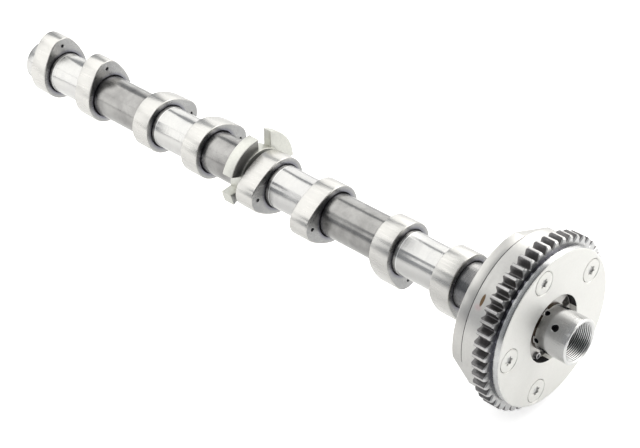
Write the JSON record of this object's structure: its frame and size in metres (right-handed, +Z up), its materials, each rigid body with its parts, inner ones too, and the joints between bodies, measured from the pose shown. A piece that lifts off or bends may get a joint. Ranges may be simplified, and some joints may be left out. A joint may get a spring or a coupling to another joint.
{
  "type": "camshaft with cam phaser",
  "caption": "Engine camshaft: hollow tube with pressed-on cam lobes, a sender wheel and a vane phaser with a toothed rim.",
  "frame": {"origin": "on the shaft's axis, at the mouth of the threaded nose", "axes": "+X along the shaft out of the nose, +Z up with the first pair of lobes, +Y completes the right hand"},
  "size_m": [0.3908, 0.0904, 0.0904],
  "materials": {
    "ground_tube": "ground",
    "polished_lobe": "ground and polished",
    "sintered_wheel": "matte",
    "sintered_rotor": "sintered",
    "sintered_gear": "sintered",
    "satin_cover": "satin",
    "dark_screw": "phosphated",
    "hard_steel": "hardened",
    "seal_plastic": "matte"
  },
  "bodies": {
    "shaft": {"camshaft_tube": "ground_tube", "rear_plug": "ground_tube", "sender_wheel": "sintered_wheel", "lobe_1": "polished_lobe", "lobe_2": "polished_lobe", "lobe_3": "polished_lobe", "lobe_4": "polished_lobe", "lobe_5": "polished_lobe", "lobe_6": "polished_lobe", "lobe_7": "polished_lobe", "lobe_8": "polished_lobe", "phaser_rotor": "sintered_rotor", "vane_seal_1": "seal_plastic", "vane_seal_2": "seal_plastic", "vane_seal_3": "seal_plastic", "vane_seal_4": "seal_plastic", "vane_seal_5": "seal_plastic", "seal_spring_1": "hard_steel", "seal_spring_2": "hard_steel", "seal_spring_3": "hard_steel", "seal_spring_4": "hard_steel", "seal_spring_5": "hard_steel", "lock_pin": "hard_steel", "lock_spring": "hard_steel", "hollow_pin": "hard_steel"},
    "phaser_housing": {"sprocket_housing": "sintered_gear", "front_cover": "satin_cover", "rear_cover": "satin_cover", "lock_bush": "hard_steel", "cover_screw_1": "dark_screw", "cover_screw_2": "dark_screw", "cover_screw_3": "dark_screw", "cover_screw_4": "dark_screw", "cover_screw_5": "dark_screw"}
  },
  "joints": [
    {"name": "phaser_advance", "type": "hinge", "parent": "shaft", "child": "phaser_housing", "pos_m": [0, 0, 0], "axis": [1, 0, 0], "range_deg": [-13, 13]}
  ]
}
